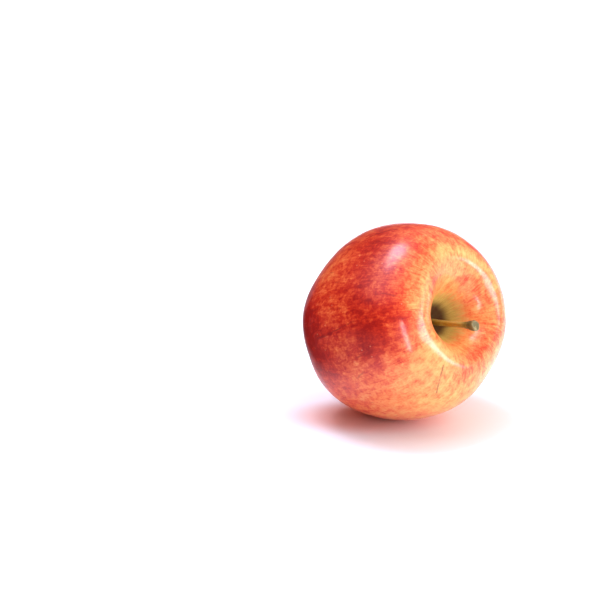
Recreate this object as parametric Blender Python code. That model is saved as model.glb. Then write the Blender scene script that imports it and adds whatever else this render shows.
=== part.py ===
"""A striped dessert apple lying on its flank, built at its real size in metres.

Frame: +Z up. The origin is the centre of the small flat the fruit rests on.
The fruit's own axis, from calyx to stem, lies in the XZ plane: it points along
+X and rises AXIS_TILT above the horizontal, as a tapered fruit settles.

Pieces: the fruit (skin and flesh are one solid), its stem, the five dried
sepals of the calyx and the dried tuft of stamens between them.
"""
import bpy
import bmesh
import math
from mathutils import Matrix, Vector

MM = 0.001

# ---- pose ------------------------------------------------------------------
AXIS_TILT = math.radians(21.7)      # stem end above the horizontal
FLAT_DEPTH = 0.6 * MM               # how much the rest flat takes off the flank

# ---- meridian: control polygon of a uniform cubic B-spline, (radius, height)
# Heights run along the fruit's axis from mid height, stem end positive.
MERIDIAN = [
    (0.0, 10.4), (1.2, 10.4), (1.9, 10.8),      # bottom of the stem's socket
    (2.0, 11.8), (4.6, 14.2),                   # floor of the stem cavity
    (7.5, 17.7), (10.0, 22.9), (13.8, 28.0),    # throat, opening into a funnel
    (19.0, 31.2),                               # rim round the cavity
    (25.5, 28.6), (32.7, 20.5),                 # shoulder
    (35.4, 9.0), (36.2, -4.4),                  # widest part, below mid height
    (33.6, -16.6), (27.0, -25.8),               # lower flank
    (18.8, -31.4), (12.4, -32.2),               # crowns round the calyx basin
    (8.2, -29.6), (5.8, -26.2), (3.2, -23.8),   # basin
    (2.0, -22.6), (1.9, -19.8),                 # eye and calyx tube
    (1.2, -19.2), (0.0, -19.2),                 # end of the tube
]
STEPS_PER_SPAN = 2                  # least rings of the mesh to a span
RING_SPACING = 3.2                  # mm, widest gap between two rings
SEGMENTS = 60                       # round the axis

# ---- how the fruit departs from a turned shape ------------------------------
FULL_RADIUS = 36.0                  # mm, the radius at which ribs are full
OVAL, OVAL_AT = 0.020, math.radians(129)
SQUARE, SQUARE_AT = 0.020, math.radians(-3)
RIBS = 5                            # one to each chamber of the core
RIB_CALYX, RIB_STEM = 0.72, -0.45   # mm; the ribs change places at mid height
RIB_AT = math.radians(56)
CROWN_RIB = 0.8                     # mm, the crowns' height over the basin's dips
SHOULDER_LIFT, SHOULDER_AT = 0.9, math.radians(-70)   # one shoulder is higher
CAVITY_SHIFT = (-1.6, -0.7)         # mm, the stem cavity lies off the axis,
CAVITY_REACH = 17.0                 # mm, less so towards its rim

# ---- stem, in mm ------------------------------------------------------------
STEM_FOOT = 11.2                    # height of its foot, in the socket
STEM_TIP = 36.0                     # height of its end
STEM_LEAN = (-4.95, 2.5)            # how far the end has swung off the foot
STEM_RINGS, STEM_SIDES = 16, 12
# (share of the length, radius)
STEM_RADII = [(0.0, 1.20), (0.10, 1.22), (0.30, 1.10), (0.54, 1.03),
              (0.74, 1.08), (0.84, 1.34), (0.92, 1.80), (0.965, 2.00),
              (1.0, 1.88)]

# ---- calyx, in mm -----------------------------------------------------------
SEPAL_BASE_RADIUS = 2.75            # ring on which the sepals stand
SEPAL_BASE_HEIGHT = -24.75
SEPAL_LENGTH = 6.4
SEPAL_WIDTH = 3.0
SEPAL_THICKNESS = 0.55
SEPAL_ROWS = 9
TUFT_HEIGHTS = (-20.2, -26.2)       # inner end, outer end
TUFT_RADII = [(0.0, 0.85), (0.35, 1.05), (0.7, 1.15), (1.0, 0.80)]
TUFT_SIDES = 10


def clear_scene():
    for old in list(bpy.data.objects):
        bpy.data.objects.remove(old, do_unlink=True)


def material(name, colour, roughness):
    mat = bpy.data.materials.new(name)
    mat.use_nodes = True
    bsdf = mat.node_tree.nodes["Principled BSDF"]
    bsdf.inputs["Base Color"].default_value = (*colour, 1.0)
    bsdf.inputs["Roughness"].default_value = roughness
    bsdf.inputs["Metallic"].default_value = 0.0
    mat.diffuse_color = (*colour, 1.0)
    return mat


def smoothstep(lo, hi, x):
    t = min(max((x - lo) / (hi - lo), 0.0), 1.0)
    return t * t * (3.0 - 2.0 * t)


def interpolate(table, x):
    """Cubic blend through a small (position, value) table."""
    for (x0, y0), (x1, y1) in zip(table, table[1:]):
        if x <= x1:
            return y0 + (y1 - y0) * smoothstep(x0, x1, x)
    return table[-1][1]


def b_spline(control, least, spacing):
    """Points of a uniform cubic B-spline whose ends meet the axis square on."""
    pts = [Vector((-control[1][0], control[1][1]))]
    pts += [Vector(p) for p in control]
    pts.append(Vector((-control[-2][0], control[-2][1])))
    out = []
    spans = len(pts) - 3
    for i in range(spans):
        steps = max(least, math.ceil((pts[i + 2] - pts[i + 1]).length / spacing))
        for j in range(steps + (1 if i == spans - 1 else 0)):
            f = j / steps
            out.append((pts[i] * (1 - f) ** 3
                        + pts[i + 1] * (3 * f ** 3 - 6 * f ** 2 + 4)
                        + pts[i + 2] * (-3 * f ** 3 + 3 * f ** 2 + 3 * f + 1)
                        + pts[i + 3] * f ** 3) / 6.0)
    return out


def fruit_shape(radius, angle, height):
    """Where a point of the turned shape lies on the ribbed, lopsided fruit (mm)."""
    stem_end = 1.0 / (1.0 + math.exp(-height / 8.0))
    calyx_end = 1.0 - stem_end
    outside = smoothstep(2.5, 8.5, radius)
    rib = math.cos(RIBS * (angle - RIB_AT))
    r = radius * (1.0 + outside * (OVAL * math.cos(2 * (angle - OVAL_AT))
                                   + SQUARE * math.cos(4 * (angle - SQUARE_AT))))
    r += (rib * outside * min(radius / FULL_RADIUS, 1.0)
          * (RIB_STEM * stem_end + RIB_CALYX * calyx_end))
    z = height + (SHOULDER_LIFT * (r / 30.0) * math.cos(angle - SHOULDER_AT)
                  * stem_end * outside)
    z -= CROWN_RIB * rib * calyx_end * math.exp(-((r - 18.0) / 9.0) ** 2)
    shift = math.exp(-(radius / CAVITY_REACH) ** 4) if height > 0 else 0.0
    return Vector((r * math.cos(angle) + shift * CAVITY_SHIFT[0],
                   r * math.sin(angle) + shift * CAVITY_SHIFT[1], z))


def new_object(name, bm, mat, parent, smooth_angle=None):
    bmesh.ops.recalc_face_normals(bm, faces=bm.faces[:])
    mesh = bpy.data.meshes.new(name)
    bm.to_mesh(mesh)
    bm.free()
    mesh.materials.append(mat)
    mesh.shade_smooth()
    if smooth_angle is not None:
        mesh.set_sharp_from_angle(angle=smooth_angle)
    obj = bpy.data.objects.new(name, mesh)
    bpy.context.scene.collection.objects.link(obj)
    obj.parent = parent
    return obj


def fruit_mesh(to_world):
    """The fruit: its meridian spun round the axis, then ribbed and flattened."""
    bm = bmesh.new()
    line = b_spline(MERIDIAN, STEPS_PER_SPAN, RING_SPACING)
    line[0].x = line[-1].x = 0.0
    verts = [bm.verts.new((p.x, 0.0, p.y)) for p in line]
    edges = [bm.edges.new(pair) for pair in zip(verts, verts[1:])]
    bmesh.ops.spin(bm, geom=verts + edges, cent=(0, 0, 0), axis=(0, 0, 1),
                   angle=2 * math.pi, steps=SEGMENTS, use_merge=True)
    bmesh.ops.remove_doubles(bm, verts=bm.verts[:], dist=1e-4)
    for v in bm.verts:
        v.co = fruit_shape(math.hypot(v.co.x, v.co.y),
                           math.atan2(v.co.y, v.co.x), v.co.z) * MM
    # the rest flat, square to the world's vertical
    lowest = min((to_world @ v.co).z for v in bm.verts)
    flat = lowest + FLAT_DEPTH
    inverse = to_world.inverted()
    for v in bm.verts:
        w = to_world @ v.co
        if w.z < flat:
            w.z = flat
            v.co = inverse @ w
    bm.normal_update()
    return bm, flat


def flat_centre(bm, to_world, flat):
    """Area centre of the flat, in world coordinates."""
    area, centre = 0.0, Vector((0, 0, 0))
    for face in bm.faces:
        pts = [to_world @ v.co for v in face.verts]
        if max(p.z for p in pts) < flat + 1e-7:
            a = face.calc_area()
            area += a
            centre += a * (to_world @ face.calc_center_median())
    return centre / area


def stem_mesh():
    """The stem: rings along a gently bent line, closed at foot and end."""
    bm = bmesh.new()
    length = STEM_TIP - STEM_FOOT

    def centre(t):
        bend = 1.10 * t - 0.10 * t * t
        return Vector((CAVITY_SHIFT[0] + STEM_LEAN[0] * bend,
                       CAVITY_SHIFT[1] + STEM_LEAN[1] * bend,
                       STEM_FOOT + length * t))

    loops = []
    for i in range(STEM_RINGS):
        t = i / (STEM_RINGS - 1)
        along = (centre(min(t + 0.01, 1.0)) - centre(max(t - 0.01, 0.0))).normalized()
        side = along.cross(Vector((0, 1, 0))).normalized()
        other = along.cross(side)
        r = interpolate(STEM_RADII, t)
        loop = []
        for k in range(STEM_SIDES):
            a = 2 * math.pi * k / STEM_SIDES
            # the end is cut a little aslant
            slant = 0.45 * math.cos(a) * smoothstep(0.9, 1.0, t)
            p = centre(t) + side * (r * math.cos(a)) + other * (r * 0.92 * math.sin(a))
            loop.append(bm.verts.new((p + along * slant) * MM))
        loops.append(loop)
    for low, high in zip(loops, loops[1:]):
        for k in range(STEM_SIDES):
            n = (k + 1) % STEM_SIDES
            bm.faces.new((low[k], low[n], high[n], high[k]))
    bm.faces.new(loops[0][::-1])
    bm.faces.new(loops[-1])
    return bm


def sepal_mesh(index):
    """One dried sepal: a thin pointed leaf that leans over the eye and then
    curls its tip outwards. Made flat, in mm: +Y outwards from the fruit's
    axis, -Z out of the basin."""
    bm = bmesh.new()
    curl = (0.5, 0.75, 0.3, 0.9, 0.6)[index]
    rows = []
    for i in range(SEPAL_ROWS):
        t = i / (SEPAL_ROWS - 1)
        half = 0.5 * SEPAL_WIDTH * (1.0 - t ** 1.5) ** 0.8 + 0.16
        z = -SEPAL_LENGTH * (t - 0.10 * t * t)
        y = -1.25 * math.sin(math.pi * min(t / 0.8, 1.0)) * 0.55 + 2.6 * curl * t ** 3
        slope = 2.6 * curl * 3 * t * t / SEPAL_LENGTH
        thick = SEPAL_THICKNESS * (1.0 - 0.35 * t) * 0.5
        row = []
        for (u, w) in ((-1, -1), (0, -1), (1, -1), (1, 1), (0, 1), (-1, 1)):
            cup = 0.22 * half * (abs(u))         # edges bend outwards
            row.append(bm.verts.new(Vector((
                u * half,
                y + cup + w * thick,
                z + w * thick * slope)) * MM))
        rows.append(row)
    n = 6
    for low, high in zip(rows, rows[1:]):
        for k in range(n):
            m = (k + 1) % n
            bm.faces.new((low[k], low[m], high[m], high[k]))
    for row in (rows[0], rows[-1]):
        bm.faces.new((row[0], row[1], row[4], row[5]))
        bm.faces.new((row[1], row[2], row[3], row[4]))
    return bm


def tuft_mesh():
    """The dried stamens as one closed bundle in the calyx tube."""
    bm = bmesh.new()
    z0, z1 = TUFT_HEIGHTS
    loops = []
    for t, r in TUFT_RADII:
        loops.append([bm.verts.new(Vector((
            r * math.cos(2 * math.pi * k / TUFT_SIDES),
            r * math.sin(2 * math.pi * k / TUFT_SIDES),
            z0 + (z1 - z0) * t)) * MM) for k in range(TUFT_SIDES)])
    for low, high in zip(loops, loops[1:]):
        for k in range(TUFT_SIDES):
            m = (k + 1) % TUFT_SIDES
            bm.faces.new((low[k], low[m], high[m], high[k]))
    bm.faces.new(loops[0][::-1])
    bm.faces.new(loops[-1])
    return bm


def main():
    clear_scene()
    skin = material("skin", (0.62, 0.13, 0.06), 0.30)
    bark = material("stem_bark", (0.24, 0.17, 0.06), 0.60)
    leaf = material("dry_sepal", (0.16, 0.10, 0.05), 0.80)
    thread = material("dry_stamen", (0.10, 0.06, 0.03), 0.85)

    # the fruit's axis: its +Z turned to +X and raised by AXIS_TILT; its +X
    # then points up
    c, s = math.cos(AXIS_TILT), math.sin(AXIS_TILT)
    turn = Matrix(((-s, 0.0, c, 0.0),
                   (0.0, -1.0, 0.0, 0.0),
                   (c, 0.0, s, 0.0),
                   (0.0, 0.0, 0.0, 1.0)))
    bm, flat = fruit_mesh(turn)
    centre = flat_centre(bm, turn, flat)
    axis = bpy.data.objects.new("fruit_axis", None)
    bpy.context.scene.collection.objects.link(axis)
    axis.matrix_world = Matrix.Translation(-centre) @ turn
    bpy.context.view_layer.update()

    new_object("apple_body", bm, skin, axis)
    new_object("stem", stem_mesh(), bark, axis, smooth_angle=math.radians(50))
    for i in range(5):
        a = RIB_AT + 2 * math.pi * (i + 0.5) / 5
        sepal = new_object("sepal_%d" % (i + 1), sepal_mesh(i), leaf, axis,
                           smooth_angle=math.radians(50))
        # +Y of the leaf points away from the axis
        sepal.rotation_euler = (0.0, 0.0, a - math.pi / 2)
        sepal.location = Vector((SEPAL_BASE_RADIUS * math.cos(a),
                                 SEPAL_BASE_RADIUS * math.sin(a),
                                 SEPAL_BASE_HEIGHT)) * MM
    new_object("stamen_tuft", tuft_mesh(), thread, axis, smooth_angle=math.radians(50))


main()
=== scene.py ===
import math
import bpy
import numpy as np
from mathutils import Matrix, Vector


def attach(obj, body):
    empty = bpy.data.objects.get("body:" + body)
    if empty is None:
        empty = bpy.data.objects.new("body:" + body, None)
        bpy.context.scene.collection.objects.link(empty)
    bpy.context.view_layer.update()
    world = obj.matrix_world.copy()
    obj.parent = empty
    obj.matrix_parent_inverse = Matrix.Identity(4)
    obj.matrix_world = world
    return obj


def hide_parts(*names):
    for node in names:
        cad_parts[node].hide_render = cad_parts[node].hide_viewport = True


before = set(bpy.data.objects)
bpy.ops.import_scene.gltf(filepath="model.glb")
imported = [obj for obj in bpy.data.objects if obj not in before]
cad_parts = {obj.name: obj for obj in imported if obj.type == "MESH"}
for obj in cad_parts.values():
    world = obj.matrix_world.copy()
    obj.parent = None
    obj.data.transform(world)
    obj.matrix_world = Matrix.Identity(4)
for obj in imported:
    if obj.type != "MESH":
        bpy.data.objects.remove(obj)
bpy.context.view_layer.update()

MM = 0.001
scene = bpy.context.scene


# =============================================================================
# The fruit's own frame: z along its axis (stem end +), x up, y to the right of
# someone who looks along the stem. The same numbers as the CAD source.
# =============================================================================
AXIS_TILT = math.radians(21.7)
FRUIT_CENTRE = np.array((1.70499, -0.39382, 36.35029))
C, S = math.cos(AXIS_TILT), math.sin(AXIS_TILT)
TURN = np.array(((-S, 0.0, C), (0.0, -1.0, 0.0), (C, 0.0, S)))

MERIDIAN = [
    (0.0, 10.4), (1.2, 10.4), (1.9, 10.8),
    (2.0, 11.8), (4.6, 14.2),
    (7.5, 17.7), (10.0, 22.9), (13.8, 28.0),
    (19.0, 31.2),
    (25.5, 28.6), (32.7, 20.5),
    (35.4, 9.0), (36.2, -4.4),
    (33.6, -16.6), (27.0, -25.8),
    (18.8, -31.4), (12.4, -32.2),
    (8.2, -29.6), (5.8, -26.2), (3.2, -23.8),
    (2.0, -22.6), (1.9, -19.8),
    (1.2, -19.2), (0.0, -19.2),
]
FULL_RADIUS = 36.0
OVAL, OVAL_AT = 0.020, math.radians(129)
SQUARE, SQUARE_AT = 0.020, math.radians(-3)
RIBS, RIB_CALYX, RIB_STEM, RIB_AT = 5, 0.72, -0.45, math.radians(56)
CROWN_RIB = 0.8
SHOULDER_LIFT, SHOULDER_AT = 0.9, math.radians(-70)

CAVITY_SHIFT, CAVITY_REACH = (-1.6, -0.7), 17.0

STEM_FOOT, STEM_TIP, STEM_LEAN = 11.2, 36.0, (-4.95, 2.5)


def to_world(p):
    """Fruit coordinates in mm to the row frame in metres."""
    return (p @ TURN.T + FRUIT_CENTRE) * MM


def smoothstep(lo, hi, x):
    t = np.clip((x - lo) / (hi - lo), 0.0, 1.0)
    return t * t * (3.0 - 2.0 * t)


def gauss(x, width):
    return np.exp(-(x / width) ** 2)


def turn_gap(a, b):
    """Signed angle from b to a, in degrees."""
    return (a - b + 180.0) % 360.0 - 180.0


def b_spline(control, per):
    p = np.array(control, float)
    p = np.vstack(([-p[1, 0], p[1, 1]], p, [-p[-2, 0], p[-2, 1]]))
    out = []
    spans = len(p) - 3
    for i in range(spans):
        f = np.linspace(0, 1, per, endpoint=(i == spans - 1))[:, None]
        out.append((p[i] * (1 - f) ** 3 + p[i + 1] * (3 * f ** 3 - 6 * f ** 2 + 4)
                    + p[i + 2] * (-3 * f ** 3 + 3 * f ** 2 + 3 * f + 1)
                    + p[i + 3] * f ** 3) / 6.0)
    line = np.vstack(out)
    line[0, 0] = line[-1, 0] = 0.0
    return line


def fruit_shape(r0, phi, z0):
    """The ribbed, lopsided fruit, as in CAD (mm)."""
    stem_end = 1.0 / (1.0 + np.exp(-z0 / 8.0))
    calyx_end = 1.0 - stem_end
    outside = smoothstep(2.5, 8.5, r0)
    rib = np.cos(RIBS * (phi - RIB_AT))
    r = r0 * (1.0 + outside * (OVAL * np.cos(2 * (phi - OVAL_AT))
                               + SQUARE * np.cos(4 * (phi - SQUARE_AT))))
    r = r + (rib * outside * np.minimum(r0 / FULL_RADIUS, 1.0)
             * (RIB_STEM * stem_end + RIB_CALYX * calyx_end))
    z = z0 + SHOULDER_LIFT * (r / 30.0) * np.cos(phi - SHOULDER_AT) * stem_end * outside
    z = z - CROWN_RIB * rib * calyx_end * gauss(r - 18.0, 9.0)
    return r, z


# =============================================================================
# Node helper
# =============================================================================
class Graph:
    def __init__(self, name):
        self.mat = bpy.data.materials.new(name)
        self.mat.use_nodes = True
        self.tree = self.mat.node_tree
        self.bsdf = self.tree.nodes["Principled BSDF"]

    def put(self, socket, value):
        if isinstance(value, bpy.types.NodeSocket):
            self.tree.links.new(value, socket)
        elif value is not None:
            if socket.type == "RGBA" and len(value) == 3:
                value = (*value, 1.0)
            socket.default_value = value

    def node(self, kind, **props):
        n = self.tree.nodes.new(kind)
        for k, v in props.items():
            setattr(n, k, v)
        return n

    def attr(self, name):
        return self.node("ShaderNodeAttribute", attribute_name=name)

    def math(self, op, a, b=None, c=None, clamp=False):
        n = self.node("ShaderNodeMath", operation=op, use_clamp=clamp)
        for s, v in zip(n.inputs, (a, b, c)):
            self.put(s, v)
        return n.outputs[0]

    def vec(self, op, a, b=None):
        n = self.node("ShaderNodeVectorMath", operation=op)
        self.put(n.inputs[0], a)
        if b is not None:
            self.put(n.inputs[1], b)
        return n.outputs["Value" if op in ("LENGTH", "DOT_PRODUCT") else "Vector"]

    def noise(self, vector, scale, detail=2.0, rough=0.5, distortion=0.0, colour=False):
        n = self.node("ShaderNodeTexNoise")
        self.put(n.inputs["Vector"], vector)
        n.inputs["Scale"].default_value = scale
        n.inputs["Detail"].default_value = detail
        n.inputs["Roughness"].default_value = rough
        n.inputs["Distortion"].default_value = distortion
        return n.outputs["Color" if colour else "Fac"]

    def voronoi(self, vector, scale, feature="F1", randomness=1.0, out="Distance"):
        n = self.node("ShaderNodeTexVoronoi", feature=feature)
        self.put(n.inputs["Vector"], vector)
        n.inputs["Scale"].default_value = scale
        n.inputs["Randomness"].default_value = randomness
        return n.outputs[out]

    def remap(self, value, lo, hi, to_lo=0.0, to_hi=1.0, smooth=True):
        n = self.node("ShaderNodeMapRange",
                      interpolation_type="SMOOTHSTEP" if smooth else "LINEAR")
        self.put(n.inputs["Value"], value)
        for key, v in (("From Min", lo), ("From Max", hi), ("To Min", to_lo), ("To Max", to_hi)):
            self.put(n.inputs[key], v)
        return n.outputs["Result"]

    def ramp(self, fac, stops, mode="LINEAR"):
        n = self.node("ShaderNodeValToRGB")
        n.color_ramp.interpolation = mode
        els = n.color_ramp.elements
        while len(els) < len(stops):
            els.new(0.5)
        for e, (pos, col) in zip(els, stops):
            e.position = pos
            e.color = (*col, 1.0)
        self.put(n.inputs["Fac"], fac)
        return n.outputs["Color"]

    def mix(self, fac, a, b, mode="MIX"):
        n = self.node("ShaderNodeMix", data_type="RGBA", blend_type=mode)
        self.put(n.inputs["Factor"], fac)
        self.put(n.inputs["A"], a)
        self.put(n.inputs["B"], b)
        return next(o for o in n.outputs if o.type == "RGBA")

    def bump(self, height, strength, distance, normal=None):
        n = self.node("ShaderNodeBump")
        self.put(n.inputs["Height"], height)
        n.inputs["Strength"].default_value = strength
        n.inputs["Distance"].default_value = distance
        if normal is not None:
            self.put(n.inputs["Normal"], normal)
        return n.outputs["Normal"]

    def set(self, **values):
        for key, v in values.items():
            self.put(self.bsdf.inputs[key.replace("_", " ")], v)


def mesh_object(name, verts, faces, mat, smooth=True):
    me = bpy.data.meshes.new(name)
    me.from_pydata([tuple(v) for v in verts], [], [tuple(f) for f in faces])
    me.update()
    me.polygons.foreach_set("use_smooth", [smooth] * len(me.polygons))
    me.materials.append(mat)
    ob = bpy.data.objects.new(name, me)
    scene.collection.objects.link(ob)
    return ob


def add_float(me, name, values):
    a = me.attributes.new(name, "FLOAT", "POINT")
    a.data.foreach_set("value", np.asarray(values, np.float32).ravel())


def add_vector(me, name, values):
    a = me.attributes.new(name, "FLOAT_VECTOR", "POINT")
    a.data.foreach_set("vector", np.asarray(values, np.float32).ravel())


# =============================================================================
# The fruit
# =============================================================================
AROUND = 400
ALONG = 226


def even_line(line, count):
    """Points evenly spaced along the line, but closer where it is near the axis."""
    seg = np.hypot(*np.diff(line, axis=0).T)
    arc = np.r_[0.0, np.cumsum(seg)]
    mid = 0.5 * (line[1:, 0] + line[:-1, 0])
    dens = seg * (1.0 + 1.6 * gauss(mid - 0.0, 7.0))
    w = np.r_[0.0, np.cumsum(dens)]
    at = np.interp(np.linspace(0, w[-1], count), w, arc)
    return (np.stack([np.interp(at, arc, line[:, 0]), np.interp(at, arc, line[:, 1])], 1),
            at / arc[-1])


# Patches of blush on the cheek that faced the sun, and of bare ground colour; two of them hold painted shade and
# one a painted highlight:
# (angle, share of the meridian, half width in degrees, half width in share, amount)
BLUSH = [
    (62, 0.60, 62, 0.34, 0.38),
    (74, 0.385, 30, 0.090, 0.26),
    (95, 0.388, 17, 0.042, 0.25),
    (88, 0.330, 18, 0.030, 0.10),
    (88, 0.288, 20, 0.036, 0.25),
    # deep red at the left edge: in part blush, in part painted shade from what stood beside it
    (86, 0.650, 26, 0.090, 0.30),
    (124, 0.56, 26, 0.120, 0.20),
    (30, 0.425, 20, 0.060, 0.12),
    (8, 0.455, 16, 0.035, 0.16),
    (2, 0.340, 44, 0.090, 0.16),
    # also deepens the left edge: in part blush, in part painted shade
    (78, 0.64, 34, 0.12, 0.12),
    (-10, 0.56, 34, 0.20, 0.20),
    (-70, 0.60, 44, 0.22, 0.22),
    (-128, 0.66, 34, 0.22, 0.20),
    (175, 0.72, 32, 0.20, 0.16),
    (-80, 0.30, 40, 0.06, 0.12),
    (-122, 0.222, 36, 0.024, 0.20),
    (168, 0.254, 22, 0.034, 0.20),
    (160, 0.290, 18, 0.030, 0.06),
    (-92, 0.180, 34, 0.030, 0.13),
    (-168, 0.200, 30, 0.030, 0.28),
    (40, 0.200, 20, 0.022, 0.20),
    (-46, 0.180, 26, 0.025, 0.08),
    (-66, 0.290, 34, 0.022, 0.32),
]
GROUND = [
    (58, 0.228, 50, 0.026, 0.08),
    (10, 0.185, 26, 0.035, 0.08),
    (120, 0.245, 40, 0.045, 0.04),
    (148, 0.33, 30, 0.12, 0.10),
    (128, 0.470, 16, 0.10, 0.03),
    (53, 0.565, 16, 0.055, 0.16),
    (52, 0.262, 22, 0.030, 0.12),
    # pale lip on the upper right: bare ground colour, and in part a painted highlight that widens the glint along
    # the rim
    (-25, 0.240, 55, 0.014, 0.16),
    (-175, 0.270, 16, 0.040, 0.08),
    (70, 0.520, 10, 0.030, 0.08),
]
# Darker single streaks: (angle at start, at end, share at start, at end, half width mm, amount)
STREAKS = [
    (84.5, 82.0, 0.578, 0.424, 0.50, 0.60),
    (74.0, 73.0, 0.470, 0.415, 0.40, 0.30),
    (66.0, 69.0, 0.440, 0.380, 0.45, 0.25),
    (94.0, 91.0, 0.420, 0.375, 0.55, 0.35),
    (16.0, 10.0, 0.470, 0.405, 0.60, 0.45),
    (24.0, 19.0, 0.450, 0.395, 0.55, 0.35),
    (33.0, 30.0, 0.480, 0.420, 0.50, 0.25),
    (60.0, 64.0, 0.350, 0.300, 0.40, 0.30),
    (46.0, 47.0, 0.330, 0.295, 0.40, 0.25),
    (102.0, 100.0, 0.500, 0.440, 0.45, 0.25),
    (-30.0, -32.0, 0.62, 0.47, 0.60, 0.35),
    (-64.0, -62.0, 0.58, 0.40, 0.55, 0.40),
    (-95.0, -98.0, 0.70, 0.52, 0.60, 0.40),
    (-140.0, -137.0, 0.66, 0.50, 0.55, 0.35),
    (168.0, 166.0, 0.70, 0.55, 0.55, 0.35),
    (48.0, 50.0, 0.76, 0.63, 0.60, 0.40),
    (100.0, 97.0, 0.80, 0.66, 0.60, 0.40),
    (12.0, 14.0, 0.72, 0.60, 0.55, 0.35),
]
# Thin brown scuffs in the ground colour, in the same form (angles from 0 to 360)
SCUFFS = [
    (137.5, 149.0, 0.256, 0.332, 0.27, 0.90),
    (187.0, 196.0, 0.240, 0.268, 0.26, 0.75),
    (200.0, 204.0, 0.296, 0.334, 0.26, 0.75),
    (182.0, 184.0, 0.290, 0.302, 0.22, 0.50),
    (163.0, 160.0, 0.262, 0.272, 0.26, 0.55),
    (171.0, 168.0, 0.352, 0.364, 0.20, 0.45),
    (152.0, 150.0, 0.372, 0.380, 0.20, 0.40),
    (23.0, 23.5, 0.262, 0.236, 0.24, 0.50),
    (340.0, 340.5, 0.264, 0.238, 0.22, 0.45),
    (314.0, 314.5, 0.262, 0.240, 0.22, 0.45),
    (77.0, 77.5, 0.262, 0.232, 0.22, 0.55),
    (270.0, 270.6, 0.262, 0.232, 0.26, 0.45),
]
# Narrow dark red creases, in the same form
CREASES = [
    (85.0, 83.5, 0.580, 0.520, 0.32, 0.80),
    (83.5, 79.5, 0.520, 0.430, 0.26, 0.70),
    (69.0, 70.5, 0.520, 0.480, 0.26, 0.50),
    (17.0, 9.0, 0.470, 0.400, 0.40, 0.55),
    (27.0, 22.0, 0.455, 0.405, 0.32, 0.45),
    (100.0, 97.5, 0.440, 0.400, 0.34, 0.45),
    (64.0, 66.0, 0.345, 0.312, 0.26, 0.45),
    (112.0, 109.0, 0.480, 0.450, 0.30, 0.35),
]


def line_mask(phi_deg, s, r, arc, table):
    out = np.zeros_like(phi_deg)
    for a0, a1, s0, s1, half, amount in table:
        t = np.clip((s - s0) / (s1 - s0), 0.0, 1.0)
        wobble = 1.1 * np.sin(9.0 * t + a0) + 0.6 * np.sin(23.0 * t + 2.0 * a0)
        across = np.radians(turn_gap(phi_deg, a0 + (a1 - a0) * t + 0.35 * wobble)) * r
        over = np.maximum(np.maximum(s0 - s, s - s1) if s0 < s1 else np.maximum(s - s0, s1 - s), 0.0)
        taper = 0.45 + 0.55 * np.sin(np.pi * np.clip(0.08 + 0.84 * t, 0, 1))
        out = np.maximum(out, amount * gauss(across, half * taper) * gauss(over * arc, 0.9)
                         * (0.75 + 0.25 * np.sin(31.0 * t + a0)))
    return out


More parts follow.
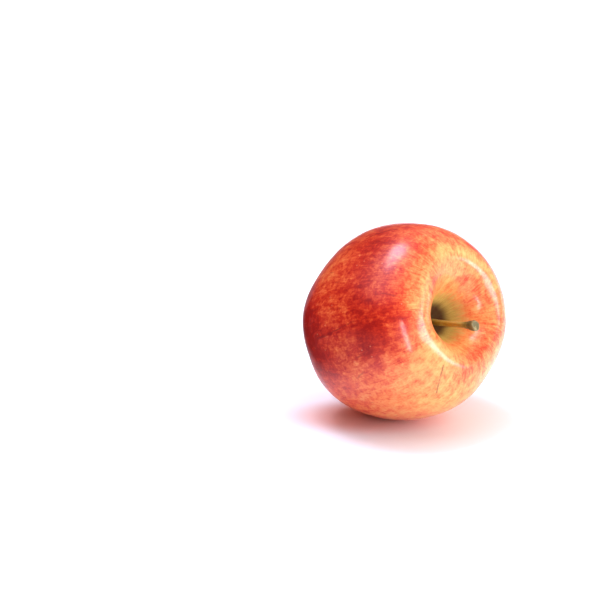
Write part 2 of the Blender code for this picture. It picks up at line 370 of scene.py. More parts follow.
def build_fruit(mat):
    line, share = even_line(b_spline(MERIDIAN, 40), ALONG)
    arc = 130.25
    phi = np.linspace(0, 2 * math.pi, AROUND, endpoint=False)
    R0, PHI = np.meshgrid(line[1:-1, 0], phi, indexing="ij")
    Z0 = np.repeat(line[1:-1, 1][:, None], AROUND, 1)
    SH = np.repeat(share[1:-1][:, None], AROUND, 1)
    r, z = fruit_shape(R0, PHI, Z0)

    # gentle unevenness of a grown surface, far under a millimetre
    skin = smoothstep(6.0, 16.0, R0)
    soft = (0.085 * np.sin(3 * PHI + 1.3 + Z0 / 9.0) * np.sin(Z0 / 7.5 + 0.6)
            + 0.055 * np.sin(7 * PHI - Z0 / 6.5 + 2.1)
            + 0.035 * np.sin(11 * PHI + Z0 / 4.5 + 0.4) * np.cos(Z0 / 5.5 + 1.0)
            + 0.022 * np.sin(17 * PHI - Z0 / 3.1))
    # pulled in a hair so that the unevenness stays inside the solid, except where it rests
    rest = gauss(turn_gap(np.degrees(PHI), 180.0), 45.0)
    r = r + skin * (soft - 0.055 * (1.0 - rest))
    # furrows that run down into the stem cavity
    throat = smoothstep(1.9, 4.0, R0) * (1 - smoothstep(9.0, 15.0, R0)) * (Z0 > 0)
    furrow = np.cos(9 * PHI + 1.7 * np.sin(2 * PHI + 0.5)) + 0.6 * np.cos(16 * PHI + 2.2 * np.sin(PHI))
    r = r + throat * 0.14 * furrow
    # puckers round the calyx
    basin = smoothstep(2.4, 4.5, R0) * (1 - smoothstep(9.5, 17.0, R0)) * (Z0 < 0)
    fold = np.cos(10 * (PHI - RIB_AT) + 0.9 * np.sin(3 * PHI)) + 0.5 * np.cos(21 * PHI + 1.4 * np.sin(4 * PHI))
    z = z + basin * 0.20 * fold

    shift = np.exp(-(R0 / CAVITY_REACH) ** 4) * (Z0 > 0)
    local = np.stack([r * np.cos(PHI) + shift * CAVITY_SHIFT[0],
                      r * np.sin(PHI) + shift * CAVITY_SHIFT[1], z], -1).reshape(-1, 3)
    top = np.array([[CAVITY_SHIFT[0], CAVITY_SHIFT[1], line[0, 1]]])
    end = np.array([[0, 0, line[-1, 1]]])
    world = to_world(np.vstack([local, top, end]))
    world[:, 2] = np.maximum(world[:, 2], 0.0)

    n, m = R0.shape
    idx = np.arange(n * m).reshape(n, m)
    a, b = idx[:-1], np.roll(idx[:-1], -1, 1)
    d, c = idx[1:], np.roll(idx[1:], -1, 1)
    quads = np.stack([a, d, c, b], -1).reshape(-1, 4)
    t, e = n * m, n * m + 1
    caps = [(t, i, j) for i, j in zip(idx[0], np.roll(idx[0], -1))]
    tails = [(e, j, i) for i, j in zip(idx[-1], np.roll(idx[-1], -1))]
    ob = mesh_object("apple_skin", world, quads.tolist() + caps + tails, mat)
    me = ob.data

    # ---- the map the finish is laid out on: round the fruit and along it
    uv = me.uv_layers.new(name="OFBake")
    loops = np.zeros(len(me.loops), np.int64)
    me.loops.foreach_get("vertex_index", loops)
    col = np.r_[np.tile(np.arange(m), n), 0, 0]
    row = np.r_[np.repeat(np.arange(1, n + 1), m), 0, n + 1]
    u = col[loops] / m
    v = share[row[loops]]
    starts = np.zeros(len(me.polygons), np.int64)
    totals = np.zeros(len(me.polygons), np.int64)
    me.polygons.foreach_get("loop_start", starts)
    me.polygons.foreach_get("loop_total", totals)
    poly = np.repeat(np.arange(len(starts)), totals)
    top_u = np.zeros(len(starts))
    np.maximum.at(top_u, poly, u)
    wrap = (top_u[poly] > 0.9) & (u < 0.1) & (row[loops] > 0) & (row[loops] <= n)
    u = np.where(wrap, u + 1.0, u)
    # the pole of each cap triangle lies above the middle of its edge
    pole = (row[loops] == 0) | (row[loops] == n + 1)
    s_u = np.bincount(poly, np.where(pole, 0.0, u)) / 2.0
    u = np.where(pole, s_u[poly], u)
    uv.data.foreach_set("uv", np.stack([0.002 + 0.996 * u, 0.002 + 0.996 * v], 1).astype(np.float32).ravel())

    # ---- where the blush, the streaks and the scuffs lie
    deg = np.degrees(np.r_[PHI.ravel(), 0, 0])
    sh = np.r_[SH.ravel(), 0, 1]
    rr = np.r_[r.ravel(), 0, 0]
    blush = np.full(len(deg), 0.31)
    for a0, s0, wa, ws, amount in BLUSH:
        blush += amount * gauss(turn_gap(deg, a0), wa) * gauss(sh - s0, ws)
    for a0, s0, wa, ws, amount in GROUND:
        blush -= amount * gauss(turn_gap(deg, a0), wa) * gauss(sh - s0, ws)
    add_float(me, "blush", blush)
    add_float(me, "streak", line_mask(deg, sh, rr, arc, STREAKS))
    add_float(me, "girth", rr)
    turn = me.attributes.new("turn", "FLOAT", "CORNER")
    turn.data.foreach_set("value", (360.0 * u).astype(np.float32))
    add_float(me, "along", sh)
    rad = np.radians(deg)
    add_vector(me, "lie", np.stack([np.cos(rad), np.sin(rad), sh], 1))
    return ob


def skin_material():
    g = Graph("apple_skin")
    lie = g.attr("lie").outputs["Vector"]
    along = g.attr("along").outputs["Fac"]
    blush = g.attr("blush").outputs["Fac"]
    streak = g.attr("streak").outputs["Fac"]
    turn = g.attr("turn").outputs["Fac"]
    girth = g.attr("girth").outputs["Fac"]
    here = g.node("ShaderNodeTexCoord").outputs["Object"]

    def lines(rows, waver):
        """The narrow marks of one table, at their place round and along the fruit."""
        total = None
        for a0, a1, s0, s1, half, amount in rows:
            t = g.remap(along, s0, s1, smooth=False)
            mid = g.math("MULTIPLY_ADD", t, a1 - a0, a0)
            gap = g.math("MULTIPLY", g.math("SUBTRACT", turn, mid), girth)
            across = g.math("DIVIDE", g.math("MULTIPLY_ADD", gap, math.pi / 180.0, waver), half)
            lo, hi = min(s0, s1), max(s0, s1)
            beyond = g.math("SUBTRACT", along, g.math("MINIMUM", g.math("MAXIMUM", along, lo), hi))
            beyond = g.math("MULTIPLY", beyond, 130.0 / 0.7)
            near = g.math("ADD", g.math("MULTIPLY", across, across), g.math("MULTIPLY", beyond, beyond))
            mark = g.remap(near, 2.2, 0.0, 0.0, amount)
            total = mark if total is None else g.math("MAXIMUM", total, mark)
        return total

    def run(around, lengthwise, scale, detail, rough, distortion=0.0):
        v = g.vec("MULTIPLY", lie, (around, around, lengthwise))
        return g.noise(v, scale, detail, rough, distortion)

    broad = run(1.0, 0.9, 6.0, 3.0, 0.55, 0.5)
    flame = run(1.0, 1.15, 19.0, 4.0, 0.62, 0.6)
    hair = run(1.0, 0.62, 58.0, 3.0, 0.62, 0.4)
    mottle = g.noise(here, 420.0, 4.0, 0.62, 0.5)
    grain = g.noise(here, 1150.0, 3.0, 0.60, 0.2)
    patch = g.noise(here, 120.0, 3.0, 0.55, 0.6)

    def swing(x, amount):
        return g.math("MULTIPLY", g.math("SUBTRACT", x, 0.5), amount)

    waver = g.math("MULTIPLY", g.math("SUBTRACT", g.noise(here, 330.0, 2.0, 0.6), 0.5), 1.5)
    broken = g.remap(g.noise(here, 700.0, 2.0, 0.6), 0.38, 0.56, 0.35, 1.0)
    scuff = g.math("MULTIPLY", lines(SCUFFS, waver), broken)
    crease = g.math("MULTIPLY", lines(CREASES, waver), broken)

    # amount of red: the blush, broken into flames, dashes and mottling
    red = blush
    for x, amount in ((broad, 0.26), (flame, 0.50), (hair, 0.34), (mottle, 0.78),
                      (grain, 0.40), (patch, 0.44)):
        red = g.math("ADD", red, swing(x, amount))
    red = g.math("ADD", red, g.math("MULTIPLY", streak, 0.42))
    colour = g.ramp(red, [
        (0.00, (0.820, 0.455, 0.150)),
        (0.22, (0.850, 0.350, 0.100)),
        (0.42, (0.830, 0.205, 0.055)),
        (0.60, (0.730, 0.086, 0.022)),
        (0.78, (0.560, 0.022, 0.006)),
        (1.00, (0.340, 0.005, 0.002)),
    ], "LINEAR")

    # lenticels: pale dots on the red, brownish ones on the yellow
    cell = g.voronoi(here, 310.0)
    keep = g.noise(here, 180.0, 0.0)
    dot = g.math("MULTIPLY", g.remap(cell, 0.13, 0.055), g.remap(keep, 0.46, 0.56))
    dot_colour = g.mix(g.remap(red, 0.30, 0.50), (0.34, 0.17, 0.05), (0.82, 0.34, 0.18))
    colour = g.mix(g.math("MULTIPLY", dot, 0.36), colour, dot_colour)
    # small dark dashes
    dash = run(1.0, 0.70, 38.0, 1.0, 0.5, 0.8)
    dash2 = g.noise(here, 240.0, 1.0)
    dashes = g.math("MULTIPLY", g.remap(dash, 0.66, 0.76), g.remap(dash2, 0.50, 0.62))
    colour = g.mix(g.math("MULTIPLY", dashes, 0.50), colour,
                   g.mix(g.remap(red, 0.25, 0.45), (0.40, 0.17, 0.05), (0.34, 0.012, 0.010)))
    colour = g.mix(crease, colour, (0.24, 0.008, 0.006))
    colour = g.mix(scuff, colour, (0.26, 0.095, 0.030))

    # the russet, greenish throat of the stem cavity, with painted shade deep inside it, and the calyx eye
    rough_edge = g.math("ADD", along, swing(flame, 0.05))
    throat = g.remap(rough_edge, 0.138, 0.078)
    throat_colour = g.mix(g.remap(hair, 0.35, 0.65), (0.40, 0.27, 0.055), (0.57, 0.40, 0.085))
    # painted shade: towards the bottom of the throat the colour falls to near black, where the recess is in shade
    throat_colour = g.mix(g.remap(along, 0.084, 0.050), throat_colour, (0.026, 0.015, 0.001))
    colour = g.mix(g.math("MULTIPLY", throat, 0.94), colour, throat_colour)
    eye = g.remap(g.math("ADD", along, swing(flame, 0.04)), 0.895, 0.955)
    colour = g.mix(g.math("MULTIPLY", eye, 0.80), colour,
                   g.mix(hair, (0.30, 0.22, 0.07), (0.50, 0.40, 0.15)))
    socket = g.remap(along, 0.034, 0.022)
    colour = g.mix(socket, colour, (0.10, 0.06, 0.02))

    rough = g.math("ADD", 0.42, swing(patch, 0.10))
    rough = g.math("ADD", rough, swing(grain, 0.08))
    rough = g.math("ADD", rough, g.math("MULTIPLY", throat, 0.40))
    rough = g.math("ADD", rough, g.math("MULTIPLY", eye, 0.32))
    rough = g.math("ADD", rough, g.math("MULTIPLY", dot, 0.12))

    height = g.math("ADD", g.math("MULTIPLY", g.noise(here, 620.0, 3.0, 0.55), 0.60),
                    g.math("MULTIPLY", g.noise(here, 150.0, 2.0, 0.5), 1.6))
    height = g.math("SUBTRACT", height, g.math("MULTIPLY", dot, 0.30))
    height = g.math("ADD", height, g.math("MULTIPLY", g.math("MULTIPLY", hair, throat), 2.0))
    normal = g.bump(height, 0.35, 0.00012)

    g.set(Base_Color=colour, Roughness=rough, Normal=normal)
    # the wax thins out to nothing on the russet
    wax = g.math("MULTIPLY_ADD", throat, -0.62, 0.65)
    g.set(IOR=1.42, Specular_IOR_Level=0.30, Coat_Weight=wax, Coat_Roughness=0.15, Coat_IOR=1.45)
    return g.mat


# =============================================================================
# The stem
# =============================================================================
def table(points, x):
    """Smooth blend through a small (position, value) table."""
    xs = np.array([p[0] for p in points])
    ys = np.array([p[1] for p in points])
    i = np.clip(np.searchsorted(xs, x, side="right") - 1, 0, len(xs) - 2)
    t = np.clip((x - xs[i]) / (xs[i + 1] - xs[i]), 0, 1)
    return ys[i] + (ys[i + 1] - ys[i]) * t * t * (3 - 2 * t)


def stem_centre(t):
    bend = 1.10 * t - 0.10 * t * t
    return np.stack([CAVITY_SHIFT[0] + STEM_LEAN[0] * bend, CAVITY_SHIFT[1] + STEM_LEAN[1] * bend,
                     STEM_FOOT + (STEM_TIP - STEM_FOOT) * t], -1)


def build_stem(mat):
    sides, rings = 56, 150
    radii = [(0.0, 1.14), (0.10, 1.18), (0.30, 1.07), (0.54, 1.00), (0.74, 1.04),
             (0.84, 1.30), (0.92, 1.74), (0.965, 1.90), (1.0, 1.80)]
    a = np.linspace(0, 2 * math.pi, sides, endpoint=False)
    verts, along, edge, upper = [], [], [], []
    sky_side = TURN.T @ np.array((0.0, 0.0, 1.0))

    def frame_at(t):
        d = stem_centre(np.array(min(t + 0.01, 1.0))) - stem_centre(np.array(max(t - 0.01, 0.0)))
        d /= np.linalg.norm(d)
        side = np.cross(d, (0, 1, 0))
        side /= np.linalg.norm(side)
        return d, side, np.cross(d, side)

    loops = []
    for i in range(rings):
        t = i / (rings - 1)
        d, side, other = frame_at(t)
        r = float(table(radii, np.array(t)))
        ridges = (0.030 * np.cos(7 * a + 2.0 * math.sin(3.1 * t)) + 0.022 * np.cos(13 * a - 5.0 * t)
                  + 0.014 * np.cos(5 * a + 30.0 * t))
        knob = float(smoothstep(0.84, 0.96, np.array(t)))
        lumps = knob * (0.05 * np.cos(3 * a + 0.7) + 0.035 * np.cos(6 * a + 9 * t))
        rings_across = 0.012 * math.sin(95.0 * t) * (1 - knob)
        rad = r * (1 + ridges + lumps + rings_across)
        slant = 0.45 * np.cos(a) * float(smoothstep(0.9, 1.0, np.array(t)))
        c = stem_centre(np.array(t))
        p = (c + side * (rad * np.cos(a))[:, None] + other * (rad * 0.92 * np.sin(a))[:, None]
             + d * slant[:, None])
        loops.append(len(verts))
        verts.extend(p)
        along.extend([t] * sides)
        edge.extend([0.0] * sides)
        upper.extend(((p - c) @ sky_side) / np.linalg.norm(p - c, axis=1))
    # the scar at the end: a rolled lip round a shallow dish
    d, side, other = frame_at(1.0)
    c = stem_centre(np.array(1.0))
    for scale, drop, mark in ((0.93, 0.03, 0.15), (0.80, 0.03, 0.6), (0.66, -0.08, 1.0), (0.48, -0.16, 1.0),
                              (0.30, -0.22, 1.0), (0.14, -0.20, 1.0)):
        rad = 1.84 * scale * (1 + 0.04 * np.cos(3 * a + 0.7) + 0.03 * np.cos(5 * a + scale * 9))
        slant = 0.45 * scale * np.cos(a) + drop + 0.03 * np.cos(7 * a + 11 * scale)
        p = (c + side * (rad * np.cos(a))[:, None] + other * (rad * 0.92 * np.sin(a))[:, None]
             + d * slant[:, None])
        loops.append(len(verts))
        verts.extend(p)
        along.extend([1.0] * sides)
        edge.extend([mark] * sides)
    verts.append(c - d * 0.18)
    along.append(1.0)
    edge.append(1.0)
    verts.append(stem_centre(np.array(0.0)))
    along.append(0.0)
    edge.append(0.0)
    faces = []
    for lo, hi in zip(loops, loops[1:]):
        for k in range(sides):
            n = (k + 1) % sides
            faces.append((lo + k, lo + n, hi + n, hi + k))
    tip, foot = len(verts) - 2, len(verts) - 1
    for k in range(sides):
        n = (k + 1) % sides
        faces.append((loops[-1] + k, loops[-1] + n, tip))
        faces.append((n, k, foot))
    verts = to_world(np.array(verts))
    ob = mesh_object("woody_stem", verts, faces, mat)
    me = ob.data
    v = np.array([x.co for x in me.vertices])
    add_float(me, "along", along)
    add_float(me, "scar", edge)
    add_float(me, "upper", np.r_[upper, np.zeros(len(verts) - len(upper))])
    return ob


def stem_material():
    g = Graph("stem_bark")
    along = g.attr("along").outputs["Fac"]
    scar = g.attr("scar").outputs["Fac"]
    here = g.node("ShaderNodeTexCoord").outputs["Object"]
    # fibres run along the stem, which leaves the fruit near its axis
    turned = g.node("ShaderNodeVectorRotate", rotation_type="Y_AXIS")
    g.put(turned.inputs["Vector"], here)
    turned.inputs["Angle"].default_value = AXIS_TILT - math.radians(17.0)
    fibre_v = g.vec("MULTIPLY", turned.outputs["Vector"], (0.16, 1.0, 1.0))
    fibre = g.noise(fibre_v, 2600.0, 4.0, 0.6, 0.2)
    blotch = g.noise(here, 420.0, 3.0, 0.6, 0.4)
    fleck = g.noise(here, 2300.0, 2.0, 0.5)
    base = g.ramp(along, [
        (0.00, (0.100, 0.065, 0.010)),
        (0.30, (0.350, 0.235, 0.026)),
        (0.62, (0.500, 0.275, 0.028)),
        (0.80, (0.230, 0.175, 0.024)),
        (0.88, (0.070, 0.070, 0.014)),
        (0.96, (0.090, 0.080, 0.020)),
        (1.00, (0.260, 0.200, 0.080)),
    ])
    colour = g.mix(g.remap(fibre, 0.35, 0.68), g.mix(0.45, base, (0.13, 0.085, 0.014)), base)
    colour = g.mix(g.math("MULTIPLY", g.remap(blotch, 0.52, 0.70), 0.35), colour, (0.42, 0.36, 0.11))
    colour = g.mix(g.math("MULTIPLY", g.remap(fleck, 0.62, 0.72), 0.35), colour, (0.50, 0.42, 0.20))
    # painted light: the stem is lighter on the side that faces up, where the light falls on it
    painted_top_light = g.remap(g.attr("upper").outputs["Fac"], 0.30, 0.80)
    painted_top_light = g.math("MULTIPLY", painted_top_light, g.remap(along, 0.82, 0.70, 0.0, 0.55))
    colour = g.mix(painted_top_light, colour, (0.62, 0.47, 0.12))
    colour = g.mix(g.math("MULTIPLY", scar, 0.80), colour,
                   g.mix(g.remap(blotch, 0.40, 0.60), (0.120, 0.092, 0.024), (0.38, 0.28, 0.12)))
    rough = g.remap(fibre, 0.3, 0.7, 0.42, 0.62)
    height = g.math("ADD", fibre, g.math("MULTIPLY", fleck, 0.6))
    g.set(Base_Color=colour, Roughness=rough, Normal=g.bump(height, 0.6, 0.00010))
    g.set(IOR=1.45)
    return g.mat


# =============================================================================
# The dried calyx
# =============================================================================
SEPAL_BASE_RADIUS, SEPAL_BASE_HEIGHT = 2.75, -24.75


def build_sepal(index, mat):
    rows, cols = 34, 15
    curl = (0.5, 0.75, 0.3, 0.9, 0.6)[index]
    twist = (0.25, -0.35, 0.15, -0.2, 0.3)[index]
    length = 6.2
    t = np.linspace(0, 1, rows)[:, None]
    u = np.linspace(-1, 1, cols)[None, :]
    half = 0.5 * 2.9 * (1.0 - t ** 1.5) ** 0.8 + 0.07
    half = half * (1 + 0.06 * np.sin(17 * t + index) * (1 - t))
    z = -length * (t - 0.10 * t * t) + 0.10 * np.sin(9 * t + 2 * index) * np.abs(u)
    y = -0.69 * np.sin(np.pi * np.minimum(t / 0.8, 1.0)) + 2.5 * curl * t ** 3
    cup = 0.26 * half * np.abs(u) ** 1.6
    wave = 0.10 * np.sin(5 * t * 3.1 + 3 * u + index) * t
    x = half * u + twist * t * t * 1.1
    rib = -0.07 * gauss(u, 0.16) * (1 - t)
    sheets = []
    thick = 0.17 * (1.0 - 0.45 * t) * (1.0 - 0.75 * np.abs(u) ** 3) + 0.012
    for side in (1, -1):
        sheets.append(np.stack([x + 0 * t, y + cup + wave + rib + side * thick,
                                z + 0 * u + side * thick * 0.6 * curl * t * t], -1))
    a0 = RIB_AT + 2 * math.pi * (index + 0.5) / 5
    rot = np.array(((math.cos(a0 - math.pi / 2), -math.sin(a0 - math.pi / 2), 0),
                    (math.sin(a0 - math.pi / 2), math.cos(a0 - math.pi / 2), 0), (0, 0, 1)))
    off = np.array((SEPAL_BASE_RADIUS * math.cos(a0), SEPAL_BASE_RADIUS * math.sin(a0), SEPAL_BASE_HEIGHT))
    pts = np.vstack([s.reshape(-1, 3) for s in sheets]) @ rot.T + off
    n = rows * cols
    faces = []
    for i in range(rows - 1):
        for j in range(cols - 1):
            p = i * cols + j
            faces.append((p, p + 1, p + cols + 1, p + cols))
            q = n + p
            faces.append((q, q + cols, q + cols + 1, q + 1))
    rim = [j for j in range(cols)] + [i * cols + cols - 1 for i in range(1, rows)]
    rim += [(rows - 1) * cols + j for j in range(cols - 2, -1, -1)] + [i * cols for i in range(rows - 2, 0, -1)]
    for p, q in zip(rim, rim[1:] + rim[:1]):
        faces.append((q, p, n + p, n + q))
    ob = mesh_object("dried_sepal_%d" % (index + 1), to_world(pts), faces, mat)
    tt = np.tile(np.repeat(t.ravel(), cols), 2)
    add_float(ob.data, "along", tt)
    add_float(ob.data, "across", np.tile(np.tile(u.ravel(), rows), 2))
    return ob


def sepal_material():
    g = Graph("dry_sepal")
    along = g.attr("along").outputs["Fac"]
    across = g.attr("across").outputs["Fac"]
    here = g.node("ShaderNodeTexCoord").outputs["Object"]
    strip = g.node("ShaderNodeCombineXYZ")
    g.put(strip.inputs[0], g.math("MULTIPLY", across, 3.2))
    g.put(strip.inputs[1], g.math("MULTIPLY", along, 0.9))
    vein = g.noise(strip.outputs[0], 4.0, 3.0, 0.6, 0.3)
    fuzz = g.noise(here, 3600.0, 3.0, 0.65)
    base = g.ramp(along, [(0.0, (0.30, 0.27, 0.11)), (0.35, (0.27, 0.20, 0.10)),
                          (0.75, (0.17, 0.105, 0.055)), (1.0, (0.085, 0.05, 0.03))])
    colour = g.mix(g.remap(vein, 0.35, 0.65), g.mix(0.5, base, (0.07, 0.045, 0.025)), base)
    colour = g.mix(g.math("MULTIPLY", g.remap(fuzz, 0.55, 0.72), 0.55), colour, (0.50, 0.44, 0.33))
    height = g.math("ADD", g.math("MULTIPLY", vein, 1.4), fuzz)
    g.set(Base_Color=colour, Roughness=0.82, Normal=g.bump(height, 0.7, 0.00012))
    return g.mat


def build_tuft(mat):
    """Dried stamens: bent threads with shrunken anthers, round the stub of the styles."""
    rng = np.random.default_rng(11)
    verts, faces, tone = [], [], []

    def tube(points, radii, shade, sides=8):
        base = len(verts)
        pts = np.array(points, float)
        for i, (p, r) in enumerate(zip(pts, radii)):
            d = pts[min(i + 1, len(pts) - 1)] - pts[max(i - 1, 0)]
            d /= np.linalg.norm(d)
            s1 = np.cross(d, (0.31, 0.95, 0.05))
            s1 /= np.linalg.norm(s1)
            s2 = np.cross(d, s1)
            for k in range(sides):
                a = 2 * math.pi * k / sides
                verts.append(p + r * (s1 * math.cos(a) + s2 * math.sin(a)))
                tone.append(shade)
        for i in range(len(pts) - 1):
            for k in range(sides):
                n = (k + 1) % sides
                p = base + i * sides
                faces.append((p + k, p + n, p + sides + n, p + sides + k))
        faces.append(tuple(base + k for k in range(sides))[::-1])
        last = base + (len(pts) - 1) * sides
        faces.append(tuple(last + k for k in range(sides)))

    z0 = -20.1
    for i in range(17):
        a = 2 * math.pi * i / 17 + rng.uniform(-0.1, 0.1)
        r0 = 0.62 + rng.uniform(-0.10, 0.12)
        out = rng.uniform(0.05, 0.40)
        tip = -25.2 - rng.uniform(0.0, 1.3)
        bow = rng.uniform(-0.25, 0.25)
        pts, rad = [], []
        for j in range(15):
            t = j / 14
            rr = r0 + out * t * t
            aa = a + bow * math.sin(2.6 * t) + 0.2 * t
            pts.append((rr * math.cos(aa), rr * math.sin(aa), z0 + (tip - z0) * t))
            rad.append(0.085 * (1 - 0.35 * t) + 0.13 * math.exp(-((t - 0.93) / 0.055) ** 2) + 0.004)
        tube(pts, rad, rng.uniform(0, 1))
    for i in range(5):
        a = 2 * math.pi * i / 5 + 0.3
        pts = [((0.22 + 0.10 * t) * math.cos(a + 0.5 * t), (0.22 + 0.10 * t) * math.sin(a + 0.5 * t),
                z0 + (-24.4 - z0) * t) for t in np.linspace(0, 1, 9)]
        tube(pts, [0.13 - 0.04 * t for t in np.linspace(0, 1, 9)], 0.2)
    ob = mesh_object("dried_stamens", to_world(np.array(verts)), faces, mat)
    add_float(ob.data, "tone", tone)
    return ob


def stamen_material():
    g = Graph("dry_stamen")
    here = g.node("ShaderNodeTexCoord").outputs["Object"]
    tone = g.attr("tone").outputs["Fac"]
    spots = g.noise(here, 2400.0, 3.0, 0.6)
    colour = g.mix(tone, (0.085, 0.050, 0.026), (0.24, 0.16, 0.085))
    colour = g.mix(g.remap(spots, 0.45, 0.7), colour, (0.32, 0.24, 0.14))
    g.set(Base_Color=colour, Roughness=0.85, Normal=g.bump(spots, 0.6, 0.00008))
    return g.mat


# =============================================================================
# Make the pieces
# =============================================================================
fruit = build_fruit(skin_material())
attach(fruit, "root")
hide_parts("apple_body")

stem = build_stem(stem_material())
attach(stem, "root")
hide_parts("stem")

leaf = sepal_material()
for i in range(5):
    sepal = build_sepal(i, leaf)
    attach(sepal, "root")
    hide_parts("sepal_%d" % (i + 1))

tuft = build_tuft(stamen_material())
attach(tuft, "root")
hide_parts("stamen_tuft")


# =============================================================================
# Floor, light, camera
# =============================================================================
def build_floor():
    g = Graph("studio_floor")
    # painted shadow: the floor's colour turns reddish close to where the fruit rests, standing in for its contact
    # shadow and the red light thrown back by what stood to the left
    where = g.node("ShaderNodeTexCoord").outputs["Object"]
    turned = g.node("ShaderNodeVectorRotate", rotation_type="Z_AXIS")
    g.put(turned.inputs["Vector"], where)
    turned.inputs["Angle"].default_value = -AZ
    painted_shadow_offset = g.vec("SUBTRACT", turned.outputs["Vector"], (-0.012, -0.004, 0.0))
    painted_shadow_offset = g.vec("MULTIPLY", painted_shadow_offset, (0.60, 1.0, 1.0))
    near = g.remap(g.vec("LENGTH", painted_shadow_offset), 0.0215, 0.008)
    g.set(Base_Color=g.mix(near, (0.93, 0.93, 0.93), (0.88, 0.54, 0.46)), Roughness=0.9,
          Specular_IOR_Level=0.0)
    h = 6.0
    ob = mesh_object("studio_floor", [(-h, -h, -0.00002), (h, -h, -0.00002), (h, h, -0.00002), (-h, h, -0.00002)],
                     [(0, 1, 2, 3)], g.mat, smooth=False)
    return ob


AZ, EL, DIST, FOCAL_PX = math.radians(44.6), math.radians(17.0), 0.600, 1620.0
build_floor()
back = Vector((math.sin(AZ) * math.cos(EL), -math.cos(AZ) * math.cos(EL), math.sin(EL)))
right = Vector((math.cos(AZ), math.sin(AZ), 0.0))
up = back.cross(right)


def direction(az_deg, el_deg):
    """A direction given by its azimuth round the camera's own and its elevation."""
    a, e = AZ + math.radians(az_deg), math.radians(el_deg)
    return Vector((math.sin(a) * math.cos(e), -math.cos(a) * math.cos(e), math.sin(e)))


def softbox(name, az_deg, el_deg, distance, width, height, radiance, colour=(1, 1, 1), roll=0.0,
            glossy=True, target=(0.0, 0.0, 0.036)):
    """An area light of a given radiance; without glossy it fills shade but isn't mirrored."""
    light = bpy.data.lights.new(name, "AREA")
    light.shape = "RECTANGLE"
    light.size, light.size_y = width, height
    light.energy = radiance * math.pi * width * height
    light.color = colour
    ob = bpy.data.objects.new(name, light)
    d = direction(az_deg, el_deg)
    ob.location = Vector(target) + d * distance
    ob.rotation_euler = (d.to_track_quat("Z", "Y").to_matrix()
                         @ Matrix.Rotation(math.radians(roll), 3, "Z")).to_euler()
    ob.visible_glossy = glossy
    ob.visible_camera = False
    scene.collection.objects.link(ob)
    return ob


def only_mirrored(ob):
    ob.visible_camera = ob.visible_diffuse = ob.visible_shadow = False
    ob.visible_transmission = ob.visible_volume_scatter = False


def rounded_card(name, offset_right, offset_back, size, colour):
    """A rounded red card that only the fruit's gloss sees, in place of what stood beside it."""
    bpy.ops.mesh.primitive_uv_sphere_add(segments=48, ring_count=24, radius=size)
    ob = bpy.context.object
    ob.name = name
    ob.data.polygons.foreach_set("use_smooth", [True] * len(ob.data.polygons))
    g = Graph(name)
    g.set(Base_Color=colour, Roughness=0.6, Specular_IOR_Level=0.0)
    ob.data.materials.append(g.mat)
    away = Vector((-math.sin(AZ), math.cos(AZ), 0.0))
    ob.location = Vector((0.0, 0.0, size)) + right * offset_right + away * offset_back
    only_mirrored(ob)
    return ob


def floor_card(name, reach, strength, colour):
    """Lies on the floor, seen only by the fruit's gloss: the dark room in front and the
    shade on the left, fading in over a few centimetres."""
    g = Graph(name)
    where = g.node("ShaderNodeTexCoord").outputs["Object"]
    turned = g.node("ShaderNodeVectorRotate", rotation_type="Z_AXIS")
    g.put(turned.inputs["Vector"], where)
    turned.inputs["Angle"].default_value = -AZ
    xyz = g.node("ShaderNodeSeparateXYZ")
    g.put(xyz.inputs[0], turned.outputs["Vector"])
    front = g.remap(xyz.outputs[1], -reach[0], -reach[1])
    left = g.math("MULTIPLY", g.remap(xyz.outputs[0], -reach[2], -reach[3]), 0.9)
    cover = g.math("MULTIPLY", g.math("MAXIMUM", front, left), strength)
    g.set(Base_Color=colour, Roughness=0.9, Specular_IOR_Level=0.0, Alpha=cover)
    h = 5.0
    ob = mesh_object(name, [(-h, -h, 0.0006), (h, -h, 0.0006), (h, h, 0.0006), (-h, h, 0.0006)],
                     [(0, 1, 2, 3)], g.mat, smooth=False)
    only_mirrored(ob)
    return ob


def bright_strip(name, low, high, width, radiance):
    """A narrow lamp in front of the fruit that only its gloss sees; low and high are
    (to the right, towards the camera, up) in metres."""
    g = Graph(name)
    g.set(Base_Color=(0, 0, 0), Roughness=1.0, Specular_IOR_Level=0.0,
          Emission_Color=(1.0, 0.93, 1.0), Emission_Strength=radiance)
    toward = Vector((math.sin(AZ), -math.cos(AZ), 0.0))
    a, b = (right * p[0] + toward * p[1] + Vector((0, 0, p[2])) for p in (low, high))
    w = right * (0.5 * width)
    ob = mesh_object(name, [a - w, a + w, b + w, b - w], [(0, 1, 2, 3)], g.mat, smooth=False)
    only_mirrored(ob)
    return ob


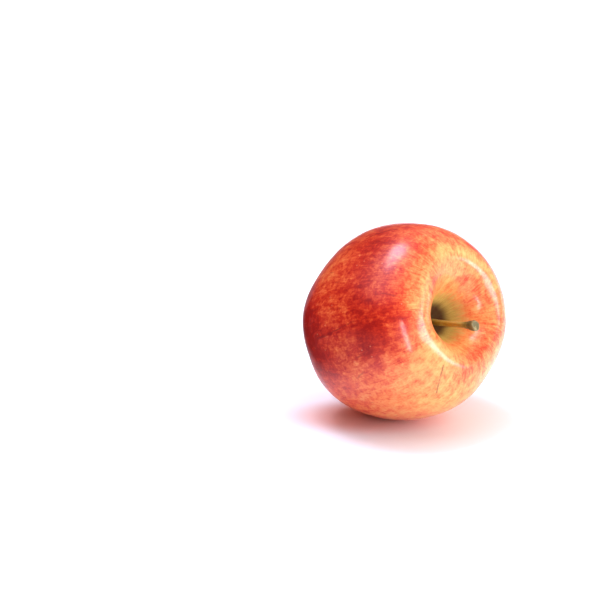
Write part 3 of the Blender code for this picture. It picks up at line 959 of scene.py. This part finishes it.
class Sky(Graph):
    """The studio round the fruit, as soft panels given by azimuth and elevation."""

    def __init__(self, name):
        world = bpy.data.worlds.new(name)
        world.use_nodes = True
        scene.world = world
        self.tree = world.node_tree
        self.bg = self.tree.nodes["Background"]
        toward = self.node("ShaderNodeTexCoord").outputs["Generated"]
        turned = self.node("ShaderNodeVectorRotate", rotation_type="Z_AXIS")
        self.put(turned.inputs["Vector"], toward)
        turned.inputs["Angle"].default_value = -AZ
        self.toward = turned.outputs["Vector"]
        xyz = self.node("ShaderNodeSeparateXYZ")
        self.put(xyz.inputs[0], self.toward)
        self.el = self.math("DEGREES", self.math("ARCSINE", xyz.outputs[2]))
        self.az = self.math("DEGREES", self.math(
            "ARCTAN2", xyz.outputs[0], self.math("MULTIPLY", xyz.outputs[1], -1.0)))

    def band(self, value, lo, hi, soft):
        return self.math("MULTIPLY", self.remap(value, lo - soft, lo + soft),
                         self.remap(value, hi + soft, hi - soft))

    def panel(self, az_lo, az_hi, el_lo, el_hi, soft):
        return self.math("MULTIPLY", self.band(self.az, az_lo, az_hi, soft),
                         self.band(self.el, el_lo, el_hi, soft))

    def disc(self, az_deg, el_deg, radius, soft):
        a, e = math.radians(az_deg), math.radians(el_deg)
        c = (math.sin(a) * math.cos(e), -math.cos(a) * math.cos(e), math.sin(e))
        gap = self.math("DEGREES", self.math("ARCCOSINE", self.vec("DOT_PRODUCT", self.toward, c)))
        return self.remap(gap, radius + soft, radius - soft)


sky = Sky("studio")
# beside the fruit: a white wall behind and to the right, a dark room in front and to the left
dark = sky.band(sky.az, -150.0, 22.0, 20.0)
wall = sky.mix(dark, (0.66, 0.66, 0.68), (0.045, 0.030, 0.028))
ceiling = sky.remap(sky.el, 34.0, 66.0)
light = sky.mix(ceiling, wall, (0.34, 0.34, 0.38))
light = sky.mix(sky.disc(-148, 2, 42.0, 24.0), light, (0.26, 0.030, 0.020))     # red neighbours
light = sky.mix(sky.disc(160, 0, 30.0, 20.0), light, (0.30, 0.19, 0.20))
rays = sky.node("ShaderNodeLightPath")
share = sky.math("MULTIPLY_ADD", rays.outputs["Is Diffuse Ray"], -0.88, 1.0)
right_box = sky.math("MAXIMUM", sky.disc(74.5, 8.5, 11.5, 4.5),                 # long softbox, right
                     sky.math("MULTIPLY", sky.disc(60, 4, 18.0, 7.0), 0.90))
for mask, colour in (
        (sky.disc(-122, 72, 11.5, 5.5), (10.0, 11.0, 15.0)),     # window over the left shoulder
        (sky.disc(-92, 68, 24.0, 18.0), (1.3, 1.25, 1.5)),       # its glow on the ceiling
        (sky.math("MULTIPLY", right_box, share), (11.5, 11.8, 14.0))):
    light = sky.mix(1.0, light, sky.mix(mask, (0, 0, 0), colour), "ADD")
sky.put(sky.bg.inputs["Color"], sky.mix(rays.outputs["Is Camera Ray"], light, (1.0, 1.0, 1.0)))

softbox("overhead_fill", 96, 74, 2.2, 2.4, 2.4, 1.50, glossy=False)
softbox("right_fill", 72, 26, 2.0, 1.7, 1.5, 1.00, colour=(1.0, 0.97, 0.95), glossy=False)
softbox("front_fill", 8, 20, 2.0, 1.6, 1.1, 1.15, glossy=False)
bright_strip("front_strip", (0.029, 0.147, 0.001), (0.006, 0.142, 0.094), 0.014, 16.0)
rounded_card("card_left", -0.0760, -0.004, 0.0370, (0.20, 0.005, 0.003))
floor_card("card_floor", (0.060, 0.130, 0.030, 0.060), 0.92, (0.050, 0.020, 0.018))

cam = bpy.data.cameras.new("camera")
cam.sensor_width = 36.0
cam.lens = FOCAL_PX / 600.0 * 36.0
cam.clip_start = 0.01
cam_ob = bpy.data.objects.new("camera", cam)
scene.collection.objects.link(cam_ob)
off_x = (402.2 - 300.0) / FOCAL_PX * DIST
off_y = -(322.2 - 300.0) / FOCAL_PX * DIST
cam_ob.location = Vector(tuple(FRUIT_CENTRE * MM)) + back * DIST - right * off_x - up * off_y
cam_ob.rotation_euler = back.to_track_quat("Z", "Y").to_euler()
scene.camera = cam_ob

scene.view_settings.view_transform = "Standard"
scene.view_settings.look = "None"
